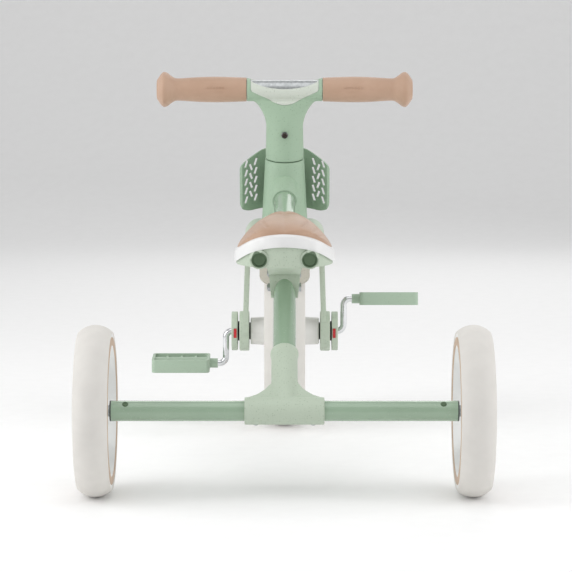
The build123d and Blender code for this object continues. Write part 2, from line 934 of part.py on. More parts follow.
def grip(side):
    outline = make_face(
        [
            Line((arm_half, 0), (arm_half, arm_radius)),
            Spline(
                (arm_half, arm_radius),
                (78, arm_radius + 1.25),
                (112, arm_radius),
                (131, arm_radius - 0.85),
                (138, arm_radius + 2.4),
                (143.5, grip_flange_radius),
            ),
            ThreePointArc((143.5, grip_flange_radius), (149.2, 19.4), (grip_end, 14.5)),
            Line((grip_end, 14.5), (grip_end, 0)),
            Line((grip_end, 0), (arm_half, 0)),
        ]
    )
    body = revolve(outline, Axis.X)
    body -= rod(bar_tube_radius + snug, arm_half, grip_end - grip_wall + snug)
    body = body if side > 0 else mirror(body, about=Plane.YZ)
    return Pos(0, 0, bar_height) * body


def stem_screw():
    back = Pos(0, 0, stem_screw_height) * Rot(90, 0, 0)
    return back * Pos(0, 0, stem_radius - 0.2) * screw(stem_radius - steerer_radius + 4)


# Seat, drawn level from its rear top edge


def seat_outline(inset):
    # A prism of the seat's plan, its edge moved inwards by the inset.
    half = [(x * seat_half, y * seat_length) for x, y in seat_plan]
    chain = [(0, 0), *half, (0, seat_length)]
    moved = [(0, inset)]
    for before, here, after in zip(chain, chain[1:], chain[2:]):
        way = Vector(after[0] - before[0], after[1] - before[1]).normalized()
        moved.append((here[0] - inset * way.Y, here[1] + inset * way.X))
    moved.append((0, seat_length - inset))
    mirrored = [(-x, y) for x, y in reversed(moved[1:-1])]
    face = make_face(Spline(*moved, *mirrored, periodic=True))
    return extrude(face, 3 * seat_depth, both=True)


def ridge():
    # The seat's middle line: up from the rear edge, then nearly level to the nose.
    rise = seat_rise
    return Spline(
        (0, -seat_roll / 3, -rise * 0.8),
        (0, 0, 0),
        (0, seat_roll * 0.4, rise * 0.6),
        (0, seat_roll, rise * 0.94),
        (0, seat_length / 2, rise),
        (0, seat_length + 12, rise * 1.07),
    )


def crown_body(top, bottom):
    # The space under a crowned surface that follows the ridge, down to a flat level.
    wide = seat_half + 5
    fall = seat_fall * (wide / seat_half) ** 2
    deep = -4 * seat_depth
    profile = make_face(
        [
            Bezier((-wide, top - fall), (0, top + fall), (wide, top - fall)),
            Line((wide, top - fall), (wide, deep)),
            Line((wide, deep), (-wide, deep)),
            Line((-wide, deep), (-wide, top - fall)),
        ]
    )
    path = ridge()
    start = path @ 0
    body = sweep(Pos(0, start.Y, start.Z) * (Plane.XZ * profile), path=path, normal=(0, 1, 0))
    return body & block(-wide, wide, start.Y, seat_length + 12, bottom, top + 3 * seat_rise)


def seat_trim():
    band = seat_outline(0) - seat_outline(trim_wall)
    return band & (crown_body(0, -3 * seat_depth) - crown_body(-trim_height, -3 * seat_depth))


def seat_pad():
    space = seat_outline(trim_wall + joint_line)
    top = crown_body(pad_proud, -3 * seat_depth) - crown_body(pad_proud - pad_thickness, -3 * seat_depth)
    return space & top


def seat_base():
    under = pad_proud - pad_thickness - snug
    lip = crown_body(-trim_height - snug, -seat_depth) & seat_outline(base_inset)
    core = crown_body(under, -seat_depth) & seat_outline(trim_wall + joint_line)
    hollow = crown_body(under - base_wall, -2 * seat_depth) & seat_outline(base_inset + base_wall + 1.5)
    plate = block(
        -bracket_top_half - 4,
        bracket_top_half + 4,
        bracket_start - 6,
        bracket_end + 12,
        -seat_depth,
        -seat_depth + 4,
    )
    frame = plate
    for side in sides.values():
        edge = side * (bracket_top_half + 4)
        frame += block(edge, edge - side * 3, 1, bracket_end + 12, -seat_depth, 0)
    outer = lip + core
    body = outer - hollow + (frame & outer)
    for side in sides.values():
        boss_radius = socket_radius + socket_wall + socket_boss_wall
        boss = post(boss_radius, -socket_length - socket_wall - 2, -1)
        body += socket_place(side) * boss & (outer + seat_tail())
    for side in sides.values():
        body -= socket_place(side) * post(socket_radius + socket_wall + snug, -socket_length - socket_wall - snug, 8)
    return body


def seat_tail():
    # Room behind and below the base for the socket bosses.
    room = block(-seat_half, seat_half, -8, 60, -seat_depth - 4, 0)
    return room & crown_body(-trim_height - joint_line, -2 * seat_depth)


def socket_place(side):
    # Z points out of the socket's mouth, back and down.
    mouth = Pos(side * socket_spacing / 2, socket_lead, -socket_drop)
    return mouth * Rot(90 + socket_tilt, 0, 0)


def push_socket(side):
    bottom = -socket_length - socket_wall
    cup = post(socket_radius + socket_wall, bottom, 0) - post(socket_radius, -socket_length, 0)
    return socket_place(side) * cup


def seat_bracket():
    # A wedge under the seat that straddles the main tube and is bolted through it.
    floor = -seat_depth
    side_view = Polyline(
        (bracket_start, floor - snug),
        (bracket_end, floor - snug),
        (bracket_end - 4, floor - 10),
        (bracket_cheek - 9, floor - bracket_drop),
        (bracket_cheek, floor - 0.4 * bracket_drop),
        close=True,
    )
    rear_view = Polyline(
        (-bracket_top_half, floor),
        (bracket_top_half, floor),
        (bracket_bottom_half, floor - bracket_drop),
        (-bracket_bottom_half, floor - bracket_drop),
        close=True,
    )
    body = extrude(Plane.YZ * make_face(side_view), bracket_top_half, both=True)
    body &= extrude(Plane.XZ * make_face(rear_view), 4 * seat_depth + seat_length, both=True)
    body = seat_place * body
    body -= pipe(main_path(), tube_radius + snug)
    spot_face = rod(bolt_head_radius + 0.4, bracket_bolt_half, tee_half)
    tool = rod(bolt_radius + snug, -tee_half, tee_half) + spot_face + mirror(spot_face, about=Plane.YZ)
    for hole in place_bolts(tool):
        body -= hole
    return largest(body)


def seat_bolts():
    reach = bracket_bolt_half + snug
    bolt = rod(bolt_radius, -reach - bolt_head - 1, reach)
    bolt += rod(bolt_head_radius, reach, reach + bolt_head)
    hexagon = extrude(Plane.YZ * RegularPolygon(bolt_head_radius, 6), bolt_head)
    bolt += Pos(-reach - bolt_head, 0, 0) * hexagon
    return place_bolts(bolt)


# Writing the nodes


def save(name, shape, place=None):
    pieces = shape if isinstance(shape, list) else [shape]
    if place is not None:
        pieces = [place * piece for piece in pieces]
    solids = [solid for piece in pieces for solid in piece.solids()]
    whole = solids[0] if len(solids) == 1 else Compound(children=solids)
    export_step(whole, f"parts/{name}.step")


def save_frame():
    save("main_tube", main_tube())
    save("rear_axle_tube", rear_axle_tube())
    save("rear_tee", tee_with_screw_holes())
    save("tee_screws", tee_screws())
    save("rear_axle_nuts", rear_axle_nuts())
    steered = steer.location
    save("head_tube", head_tube(), steered)
    save("head_bush_upper", head_bush_upper(), steered)
    save("head_bush_lower", head_bush_lower(), steered)
    save("head_housing", head_housing())
    save("fairing", fairing(), steered)
    save("fairing_screws", fairing_screws(), steered)


def save_seat():
    seated = seat_place
    tube_room = pipe(main_path(), tube_radius + joint_line)
    save("seat_trim", seat_trim(), seated)
    save("seat_pad", seat_pad(), seated)
    save("seat_base", seated * seat_base() - tube_room)
    save("seat_bracket", seat_bracket())
    save("seat_bolts", seat_bolts())


def save_fork():
    steered = steer.location
    save("steerer_tube", steerer_tube(), steered)
    save("fork", fork(), steered)
    save("fork_bushes", fork_bushes(), steered)
    save("front_fender", front_fender(), steered)
    save("fender_screws", fender_screws(), steered)
    save("handlebar", handlebar(), steered)
    save("handlebar_cover", handlebar_cover(), steered)
    save("handlebar_tube", handlebar_tube(), steered)
    save("stem_screw", stem_screw(), steered)


def save_front_wheel():
    save("front_tyre", tyre(front_radius, front_tyre_width, front_shoulder_drop), front_axle)
    save("front_rim", front_rim(), front_axle)
    save("front_rings", rings(front_radius, front_tyre_width, front_shoulder_drop), front_axle)
    save("front_hub", front_hub(), front_axle)
    save("front_axle", front_axle_shaft(), front_axle)
    save("seal_rings", seal_rings(), front_axle)


def save_sided(name, side):
    seated = seat_place
    tilt = left_pedal_tilt if side < 0 else right_pedal_tilt
    save(f"push_socket_{name}", push_socket(side), seated)
    save(f"grip_{name}", grip(side), steer.location)
    save(f"crank_housing_{name}", crank_housing(side), front_axle)
    save(f"crank_button_{name}", crank_button(side), front_axle)
    save(f"crank_arm_{name}", crank_arm(side), front_axle)
    save(f"pedal_{name}", pedal(side, tilt), front_axle)
    save(f"rear_insert_{name}", rear_insert(side))
    save(f"rear_stub_{name}", rear_stub(side))
    save(f"spring_button_{name}", spring_button(side))
    wheel = Pos(side * rear_track / 2, rear_axle_y, rear_radius)
    save(f"rear_tyre_{name}", tyre(rear_radius, rear_tyre_width, rear_shoulder_drop), wheel)
    save(f"rear_rim_{name}", rear_rim(), wheel)
    save(f"rear_rings_{name}", rings(rear_radius, rear_tyre_width, rear_shoulder_drop), wheel)
    save(f"rear_bearings_{name}", rear_bearings(), wheel)
    save(f"rear_hub_cap_{name}", rear_hub_cap(side), wheel)


os.makedirs("parts", exist_ok=True)
save_frame()
save_seat()
save_fork()
save_front_wheel()
for side_name, side_sign in sides.items():
    save_sided(side_name, side_sign)
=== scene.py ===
import json
import math

import bmesh
import bpy
from mathutils import Matrix, Vector


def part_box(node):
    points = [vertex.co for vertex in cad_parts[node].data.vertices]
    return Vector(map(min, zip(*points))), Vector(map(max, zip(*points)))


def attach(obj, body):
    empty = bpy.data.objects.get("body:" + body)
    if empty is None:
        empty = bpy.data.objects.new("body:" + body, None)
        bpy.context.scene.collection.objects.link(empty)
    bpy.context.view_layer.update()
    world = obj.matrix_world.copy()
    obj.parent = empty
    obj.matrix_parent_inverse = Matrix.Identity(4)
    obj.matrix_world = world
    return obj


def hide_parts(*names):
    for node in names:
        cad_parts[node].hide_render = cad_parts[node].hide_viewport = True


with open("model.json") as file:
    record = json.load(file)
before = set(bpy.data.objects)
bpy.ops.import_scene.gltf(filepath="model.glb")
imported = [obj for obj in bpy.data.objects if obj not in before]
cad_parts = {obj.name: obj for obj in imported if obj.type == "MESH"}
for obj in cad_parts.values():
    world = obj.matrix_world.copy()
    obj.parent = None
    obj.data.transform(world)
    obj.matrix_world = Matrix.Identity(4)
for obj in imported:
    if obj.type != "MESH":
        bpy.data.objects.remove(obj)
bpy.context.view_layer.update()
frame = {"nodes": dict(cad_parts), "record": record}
cadNodes = frame["nodes"]
record = frame["record"]
nodeBody = {node: body for body, nodes in record["behaviour"]["bodies"].items() for node in nodes}
nodeSlot = {entry["node"]: entry["material_slot"] for entry in record["subparts"]}
jointByName = {joint["name"]: joint for joint in record["behaviour"]["joints"]}
mm = 0.001

# the steering axis leans back, and everything on it is laid out in this leaned frame
steerJoint = jointByName["steer"]
steerUp = Vector(steerJoint["axis"]).normalized()
steerForward = steerUp.cross(Vector((1, 0, 0)))
steerMatrix = Matrix.Translation(Vector(steerJoint["pos_m"])) @ Matrix(
    ((1, steerForward.x, steerUp.x), (0, steerForward.y, steerUp.y), (0, steerForward.z, steerUp.z))
).to_4x4()
frontHub = Vector(jointByName["front_wheel_spin"]["pos_m"])
rearHub = {side: Vector(jointByName["rear_wheel_" + side + "_spin"]["pos_m"]) for side in ("left", "right")}
signs = {"left": -1, "right": 1}
print("frame loaded:", len(cadNodes), "nodes")

# ---------- camera and light ----------
cameraSet = {"lens": 155.2, "back": 2.55, "height": 0.4966, "side": 0.0016, "tilt": 6.16}
bpy.ops.object.camera_add(
    location=(cameraSet["side"], rearHub["left"].y - cameraSet["back"], cameraSet["height"]),
    rotation=(math.radians(90 - cameraSet["tilt"]), 0, 0),
)
camera = bpy.context.object
camera.data.lens = cameraSet["lens"]
camera.data.sensor_width = 36
bpy.context.scene.camera = camera
bpy.context.scene.view_settings.view_transform = "Standard"

lightSet = {
    "top": {"at": (-0.2, -0.6, 2.2), "size": 2.0, "watts": 11},
    "left": {"at": (-1.5, -0.45, 0.8), "size": 1.3, "watts": 13},
    "right": {"at": (1.5, -0.45, 0.8), "size": 1.3, "watts": 10},
    "front": {"at": (0.4, 2.1, 1.5), "size": 1.6, "watts": 9},
}
for lightName, values in lightSet.items():
    place = Vector(values["at"])
    aim = (Vector((0, 0, 0.2)) - place).to_track_quat("-Z", "Y").to_euler()
    bpy.ops.object.light_add(type="AREA", location=place, rotation=aim)
    lamp = bpy.context.object
    lamp.name = "softbox_" + lightName
    lamp.data.size = values["size"]
    lamp.data.energy = values["watts"]
world = bpy.data.worlds.new("studio")
bpy.context.scene.world = world
world.use_nodes = True
world.node_tree.nodes["Background"].inputs["Color"].default_value = (1, 1, 1, 1)
world.node_tree.nodes["Background"].inputs["Strength"].default_value = 0.52

# one pale sheet: the floor, a wide bend and the wall behind
backdropSet = {"size": 9.0, "middle": -0.5, "wall": 5.0, "bend": 1.4}
bpy.ops.object.select_all(action="DESELECT")
bpy.ops.mesh.primitive_plane_add(size=backdropSet["size"], location=(0, backdropSet["middle"], 0))
floor = bpy.context.object
floor.name = "floor"
bpy.ops.object.mode_set(mode="EDIT")
bpy.ops.mesh.select_mode(type="EDGE")
bpy.ops.mesh.select_all(action="DESELECT")
floorMesh = bmesh.from_edit_mesh(floor.data)
for edge in floorMesh.edges:
    edge.select_set(all(vertex.co.y > backdropSet["size"] / 2 - 0.01 for vertex in edge.verts))
bmesh.update_edit_mesh(floor.data)
bpy.ops.mesh.extrude_region_move(TRANSFORM_OT_translate={"value": (0, 0, backdropSet["wall"])})
bpy.ops.mesh.select_all(action="DESELECT")
for edge in bmesh.from_edit_mesh(floor.data).edges:
    ends = [vertex.co for vertex in edge.verts]
    edge.select_set(all(end.y > backdropSet["size"] / 2 - 0.01 and end.z < 0.01 for end in ends))
bmesh.update_edit_mesh(floor.data)
bpy.ops.mesh.bevel(offset=backdropSet["bend"], segments=16, affect="EDGES")
bpy.ops.object.mode_set(mode="OBJECT")
bpy.ops.object.shade_smooth()
print("camera and lights placed")


# ---------- materials ----------
def toLinear(code):
    parts = [int(code[i : i + 2], 16) / 255 for i in (1, 3, 5)]
    return tuple(c / 12.92 if c <= 0.04045 else ((c + 0.055) / 1.055) ** 2.4 for c in parts) + (1.0,)


def addNode(tree, kind, settings=None, links=None):
    made = tree.nodes.new(kind)
    for key, value in (settings or {}).items():
        # a number or a socket's name sets that socket, and the rest are the node's options
        if isinstance(key, int) or key in made.inputs:
            made.inputs[key].default_value = value
        else:
            setattr(made, key, value)
    for key, source in (links or {}).items():
        tree.links.new(source, made.inputs[key])
    return made


def startMaterial(name, settings):
    material = bpy.data.materials.new(name)
    material.use_nodes = True
    tree = material.node_tree
    shader = tree.nodes["Principled BSDF"]
    for key, value in settings.items():
        shader.inputs[key].default_value = value
    coords = addNode(tree, "ShaderNodeTexCoord").outputs["Object"]
    return material, tree, shader, coords


def mixTwo(tree, shader, mask, first, second):
    # sockets 6 and 7 are the mix node's two colours, and output 2 is their blend
    blend = addNode(tree, "ShaderNodeMix", {"data_type": "RGBA", 6: first, 7: second}, {"Factor": mask})
    tree.links.new(blend.outputs[2], shader.inputs["Base Color"])


def addBump(tree, shader, height, depthMm, strength=1.0):
    settings = {"Strength": strength, "Distance": depthMm * mm}
    bump = addNode(tree, "ShaderNodeBump", settings, {"Height": height})
    tree.links.new(bump.outputs["Normal"], shader.inputs["Normal"])


def varyRoughness(tree, shader, pattern, spread, low):
    settings = {"operation": "MULTIPLY_ADD", 1: spread, 2: low}
    varied = addNode(tree, "ShaderNodeMath", settings, {0: pattern})
    tree.links.new(varied.outputs[0], shader.inputs["Roughness"])


def noiseOf(tree, coords, sizeMm, detail=3.0, rough=0.55):
    settings = {"Scale": 1 / (sizeMm * mm), "Detail": detail, "Roughness": rough}
    return addNode(tree, "ShaderNodeTexNoise", settings, {"Vector": coords}).outputs["Fac"]


def rampOf(tree, source, low, high):
    settings = {"From Min": low, "From Max": high, "To Min": 0.0, "To Max": 1.0}
    return addNode(tree, "ShaderNodeMapRange", settings, {"Value": source}).outputs["Result"]


# polypropylene filled with ground plant fibre, injection moulded: satin, with small darker flecks
def fibrePlastic(name, base, fleck, strength=0.55, rough=0.5):
    material, tree, shader, coords = startMaterial(name, {"IOR": 1.49, "Specular IOR Level": 0.4})
    cells = addNode(tree, "ShaderNodeTexVoronoi", {"Scale": 1 / (2.4 * mm)}, {"Vector": coords})
    dots = rampOf(tree, cells.outputs["Distance"], 0.34, 0.14)
    split = addNode(tree, "ShaderNodeSeparateColor", links={"Color": cells.outputs["Color"]})
    chosen = rampOf(tree, split.outputs["Red"], 0.5, 0.8)
    fine = rampOf(tree, noiseOf(tree, coords, 1.3, 4), 0.56, 0.74)
    both = addNode(tree, "ShaderNodeMath", {"operation": "MULTIPLY"}, {0: dots, 1: chosen})
    mask = addNode(
        tree, "ShaderNodeMath", {"operation": "MULTIPLY_ADD", 1: 0.45, "use_clamp": True},
        {0: fine, 2: both.outputs[0]},
    )  # whole flecks, with a finer dust between them
    share = addNode(tree, "ShaderNodeMath", {"operation": "MULTIPLY", 1: strength}, {0: mask.outputs[0]})
    mixTwo(tree, shader, share.outputs[0], toLinear(base), toLinear(fleck))
    cloud = rampOf(tree, noiseOf(tree, coords, 14, 2), 0.3, 0.7)
    varyRoughness(tree, shader, cloud, 0.08, rough - 0.04)
    addBump(tree, shader, noiseOf(tree, coords, 0.9, 3), 0.05, 0.5)
    return material


# plain moulded plastics and rubbers: one colour, a fine moulded texture and slight clouding
def mouldedPlastic(name, base, shade, rough, grainMm=0.8, depthMm=0.04, coat=0.0):
    material, tree, shader, coords = startMaterial(name, {"IOR": 1.5, "Coat Weight": coat})
    shader.inputs["Coat Roughness"].default_value = 0.15
    cloud = rampOf(tree, noiseOf(tree, coords, 22, 3), 0.35, 0.7)
    mixTwo(tree, shader, cloud, toLinear(base), toLinear(shade))
    fine = noiseOf(tree, coords, grainMm, 4)
    varyRoughness(tree, shader, fine, 0.12, rough - 0.06)
    addBump(tree, shader, fine, depthMm, 0.6)
    return material


# soft moulded skins: a leather-like grain of small cells over a slow change of tone
def grainedSkin(name, base, shade, rough, cellMm, depthMm):
    material, tree, shader, coords = startMaterial(
        name, {"IOR": 1.45, "Sheen Weight": 0.15, "Sheen Roughness": 0.5}
    )
    cloud = rampOf(tree, noiseOf(tree, coords, 30, 4), 0.35, 0.72)
    mixTwo(tree, shader, cloud, toLinear(base), toLinear(shade))
    cellSettings = {"feature": "DISTANCE_TO_EDGE", "Scale": 1 / (cellMm * mm)}
    cells = addNode(tree, "ShaderNodeTexVoronoi", cellSettings, {"Vector": coords})
    ridges = rampOf(tree, cells.outputs["Distance"], 0.0, 0.25)
    varyRoughness(tree, shader, ridges, -0.1, rough + 0.05)
    addBump(tree, shader, ridges, depthMm, 0.5)
    return material


# powder coat on steel tube: glossy, with a very slight orange peel
def powderCoat(name, base, shade, rough):
    material, tree, shader, coords = startMaterial(
        name, {"IOR": 1.5, "Coat Weight": 1.0, "Coat Roughness": 0.1}
    )
    cloud = rampOf(tree, noiseOf(tree, coords, 40, 3), 0.3, 0.7)
    mixTwo(tree, shader, cloud, toLinear(base), toLinear(shade))
    peel = noiseOf(tree, coords, 2.2, 2)
    varyRoughness(tree, shader, peel, 0.08, rough - 0.04)
    addBump(tree, shader, peel, 0.04, 0.35)
    return material


# bare metals: plating with fine wear in its roughness
def platedMetal(name, base, shade, rough, grainMm):
    material, tree, shader, coords = startMaterial(name, {"Metallic": 1.0})
    worn = noiseOf(tree, coords, grainMm, 5)
    mixTwo(tree, shader, rampOf(tree, worn, 0.35, 0.7), toLinear(base), toLinear(shade))
    varyRoughness(tree, shader, worn, 0.16, rough - 0.05)
    addBump(tree, shader, noiseOf(tree, coords, grainMm / 3, 3), 0.01, 0.3)
    return material


finishes = {
    "green_plastic": fibrePlastic("fibrePolypropylenePaleGreen", "#bfccba", "#8fa28a"),
    "stem_plastic": fibrePlastic("fibrePolypropyleneGreen", "#a3bba3", "#7c967c"),
    "pale_plastic": fibrePlastic("fibrePolypropylenePale", "#cfd5cb", "#aab3a4"),
    "pedal_plastic": fibrePlastic("fibrePolypropylenePedal", "#abbfab", "#8ba18b", 0.3),
    "beige_plastic": fibrePlastic("fibrePolypropyleneBeige", "#bcb8ac", "#8d877a"),
    # this dark green is painted shade: the shadowed depth of the push-bar sockets, put on as a plastic
    # colour
    "dark_green_plastic": mouldedPlastic("darkGreenPaintedShadePlastic", "#597054", "#4d6449", 0.6),
    "white_plastic": mouldedPlastic("mouldedAbsWhite", "#efefef", "#e9e9e9", 0.32, 1.2, 0.02, 0.3),
    "cream_plastic": mouldedPlastic("mouldedPolypropyleneCream", "#ebeae6", "#e2e1dc", 0.45),
    "tan_plastic": mouldedPlastic("mouldedPolypropyleneTan", "#c3a78f", "#b89c84", 0.48),
    # this dark grey-green is painted shade: the colour of the shadowed gap between the pods and crank
    # housings, given to the part that fills it
    "bush_plastic": mouldedPlastic("turnedAcetalPaintedShadeGrey", "#4a504b", "#3f4541", 0.4),
    "black_plastic": mouldedPlastic("mouldedNylonBlack", "#202221", "#191a1a", 0.45),
    "red_plastic": mouldedPlastic("mouldedAbsRed", "#c8101c", "#bb0f1a", 0.28, 1.0, 0.02, 0.5),
    "tyre_foam": mouldedPlastic("mouldedEvaFoamOffWhite", "#dedbd6", "#d9d6d1", 0.68, 0.7, 0.07),
    "grip_rubber": grainedSkin("mouldedSiliconeRubberTan", "#bf9f89", "#b6967f", 0.58, 0.9, 0.05),
    "seat_cushion": grainedSkin("mouldedPolyurethaneSkinTan", "#bd9c84", "#b3927a", 0.46, 1.1, 0.06),
    "green_steel": powderCoat("powderCoatedSteelGreen", "#9ab39a", "#94ad94", 0.26),
    "steel": platedMetal("zincPlatedSteel", "#c2c5c6", "#a9adae", 0.32, 3.0),
    "chrome": platedMetal("polishedChromePlate", "#e3e4e6", "#d6d8da", 0.09, 8.0),
    "black_screw": powderCoat("blackOxideSteel", "#161616", "#101010", 0.22),
}
floorFinish = mouldedPlastic("paintedStudioFloor", "#ffffff", "#fdfdfd", 0.85, 6.0, 0.02)
floor.data.materials.append(floorFinish)
for nodeName, nodeObject in cadNodes.items():
    nodeObject.data.materials.clear()
    nodeObject.data.materials.append(finishes[nodeSlot[nodeName]])
print("materials made:", len(finishes))


# ---------- modelling helpers ----------
def activate(piece):
    bpy.ops.object.select_all(action="DESELECT")
    piece.select_set(True)
    bpy.context.view_layer.objects.active = piece


def applyModifier(piece, kind, settings):
    activate(piece)
    modifier = piece.modifiers.new(kind.lower(), kind)
    for key, value in settings.items():
        setattr(modifier, key, value)
    bpy.ops.object.modifier_apply(modifier=modifier.name)


def settle(piece):
    activate(piece)
    bpy.ops.object.transform_apply(location=True, rotation=True, scale=True)


def dress(piece, nodeName, angle):
    # finish a piece that stands for one CAD node
    settle(piece)
    bpy.ops.object.shade_smooth_by_angle(angle=math.radians(angle))
    finish = nodeSlot[nodeName]
    piece.data.materials.clear()
    piece.data.materials.append(finishes[finish])
    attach(piece, nodeBody[nodeName])
    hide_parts(nodeName)
    return piece


def copyOfNode(nodeName, pieceName):
    piece = bpy.data.objects.new(pieceName, cadNodes[nodeName].data.copy())
    bpy.context.collection.objects.link(piece)
    activate(piece)
    bpy.ops.object.mode_set(mode="EDIT")
    bpy.ops.mesh.select_all(action="SELECT")
    bpy.ops.mesh.remove_doubles(threshold=0.000005)
    bpy.ops.mesh.dissolve_limited(angle_limit=math.radians(0.6))
    bpy.ops.object.mode_set(mode="OBJECT")
    return piece


def softEdged(nodeName, pieceName, width):
    # the moulding with its sharp edges broken by a small round
    piece = copyOfNode(nodeName, pieceName)
    settings = {
        "width": width * mm,
        "segments": 2,
        "limit_method": "ANGLE",
        "angle_limit": math.radians(32),
    }
    applyModifier(piece, "BEVEL", settings)
    dress(piece, nodeName, 40)


def spun(pieceName, outline, centre, steps=128):
    # a closed outline of distances along X and radii, turned about X through the centre
    bpy.ops.object.select_all(action="DESELECT")
    bpy.ops.mesh.primitive_circle_add(vertices=len(outline), radius=1, location=(0, 0, 0))
    piece = bpy.context.object
    piece.name = pieceName
    for vertex, (along, radius) in zip(piece.data.vertices, outline):
        vertex.co = (along * mm, 0, radius * mm)
    bpy.ops.object.mode_set(mode="EDIT")
    bpy.ops.mesh.select_all(action="SELECT")
    bpy.ops.mesh.spin(steps=steps, angle=2 * math.pi, center=(0, 0, 0), axis=(1, 0, 0))
    bpy.ops.mesh.select_all(action="SELECT")
    bpy.ops.mesh.remove_doubles(threshold=0.00001)
    bpy.ops.mesh.normals_make_consistent(inside=False)
    bpy.ops.object.mode_set(mode="OBJECT")
    piece.location = centre
    settle(piece)
    return piece


def arcOf(first, middle, last, count):
    # points on the circle through three points, the ends included
    (ax, ay), (bx, by), (cx, cy) = first, middle, last
    d = 2 * (ax * (by - cy) + bx * (cy - ay) + cx * (ay - by))
    ux = ((ax**2 + ay**2) * (by - cy) + (bx**2 + by**2) * (cy - ay) + (cx**2 + cy**2) * (ay - by)) / d
    uy = ((ax**2 + ay**2) * (cx - bx) + (bx**2 + by**2) * (ax - cx) + (cx**2 + cy**2) * (bx - ax)) / d
    start = math.atan2(ay - uy, ax - ux)
    sweep = (math.atan2(cy - uy, cx - ux) - start + math.pi) % (2 * math.pi) - math.pi
    radius = math.hypot(ax - ux, ay - uy)
    turns = [start + sweep * i / (count - 1) for i in range(count)]
    return [(ux + radius * math.cos(t), uy + radius * math.sin(t)) for t in turns]


def smoothChain(points, count):
    # a smooth curve through the points, as evenly spaced steps along the chain
    chain = [points[0], *points, points[-1]]
    made = []
    for i in range(1, len(chain) - 2):
        for k in range(count):
            t = k / count
            row = []
            for axis in (0, 1):
                p0, p1, p2, p3 = (chain[i + j][axis] for j in (-1, 0, 1, 2))
                row.append(
                    0.5 * (2 * p1 + (p2 - p0) * t + (2 * p0 - 5 * p1 + 4 * p2 - p3) * t**2
                           + (3 * p1 - p0 - 3 * p2 + p3) * t**3)
                )
            made.append(tuple(row))
    return made + [points[-1]]


# ---------- tyres ----------
tyreSet = {
    "front": {"width": 49.0, "radius": 115.0, "drop": 10.2, "lip": 3.3, "depth": 3.7, "edge": 0.9},
    "rear": {"width": 35.6, "radius": 90.0, "drop": 8.3, "lip": 3.3, "depth": 3.7, "edge": 0.9},
}


def tyrePiece(pieceName, values, centre, nodeName):
    half, radius = values["width"] / 2, values["radius"]
    shoulder = radius - values["drop"]
    seat = shoulder - values["depth"]
    edge = values["edge"]
    crownHalf = half - edge * 0.3
    crown = arcOf((-crownHalf, shoulder + edge), (0, radius), (crownHalf, shoulder + edge), 33)
    outline = crown + [
        (half - 0.05, shoulder + edge * 0.45),
        (half, shoulder),
        (half - values["lip"], seat),
        (values["lip"] - half, seat),
        (-half, shoulder),
        (0.05 - half, shoulder + edge * 0.45),
    ]
    dress(spun(pieceName, outline, centre, 160), nodeName, 50)


tyrePiece("frontTyre", tyreSet["front"], frontHub, "front_tyre")
for side in signs:
    tyrePiece("rearTyre_" + side, tyreSet["rear"], rearHub[side], "rear_tyre_" + side)
print("tyres modelled")


# ---------- grips ----------
gripSet = {
    "height": 305.8,
    "start": 45.4,
    "end": 152.5,
    "bore": 9.6,
    "boreEnd": 149.0,
    "outer": [
        (45.4, 13.6), (46.2, 14.15), (52, 14.35), (64, 14.8), (80, 15.2), (98, 14.9), (114, 14.0),
        (125, 13.3), (130.5, 13.7), (135.5, 16.6), (139.3, 19.6), (142.2, 20.75), (144.8, 20.5),
        (147.6, 17.8), (150.2, 13.9), (151.6, 11.9), (152.1, 10.8),
    ],
    "ribs": 7,
    "ribPitch": 3.6,
    "ribSize": (0.9, 1.0, 5.2),
    "ribMiddle": 82.0,
    "ribTurn": 74,
    "ribReach": 15.1,
    "ribRound": 0.42,
}


def gripPiece(side):
    sign = signs[side]
    profile = smoothChain(gripSet["outer"], 5)
    outline = profile + [(151.5, 10.1), (151.5, 9.3), (152.2, 8.7), (152.5, 0.0), (gripSet["boreEnd"], 0.0)]
    outline += [(gripSet["boreEnd"], gripSet["bore"]), (gripSet["start"], gripSet["bore"])]
    centre = Vector((0, 0, gripSet["height"] * mm))
    grip = spun("grip_piece_" + side, [(sign * x, r) for x, r in outline], (0, 0, 0), 96)
    ribs = []
    for i in range(gripSet["ribs"]):
        along = gripSet["ribMiddle"] + (i - (gripSet["ribs"] - 1) / 2) * gripSet["ribPitch"]
        reach = gripSet["ribReach"]
        turn = math.radians(gripSet["ribTurn"])
        bpy.ops.object.select_all(action="DESELECT")
        bpy.ops.mesh.primitive_cube_add(size=1, location=(0, 0, 0))
        rib = bpy.context.object
        rib.scale = tuple(v * mm for v in gripSet["ribSize"])
        rib.location = (sign * along * mm, -reach * math.sin(turn) * mm, reach * math.cos(turn) * mm)
        rib.rotation_euler = (math.pi / 2 - turn, 0, 0)
        settle(rib)
        rounding = {"width": gripSet["ribRound"] * mm, "segments": 3, "limit_method": "NONE"}
        applyModifier(rib, "BEVEL", rounding)
        ribs.append(rib)
    activate(grip)
    for rib in ribs:
        rib.select_set(True)
    bpy.ops.object.join()
    grip.matrix_world = steerMatrix @ Matrix.Translation(centre)
    dress(grip, "grip_" + side, 50)


for side in signs:
    gripPiece(side)
print("grips modelled")


# ---------- handlebar and its cover ----------
barSet = {
    "height": 305.8,
    "voxel": 1.1,
    "smooth": 14,
    "coverHalf": 40.4,
    "coverSag": 15.5,
    "gap": 0.3,
    "depth": 60,
    "cutTop": 40,
}


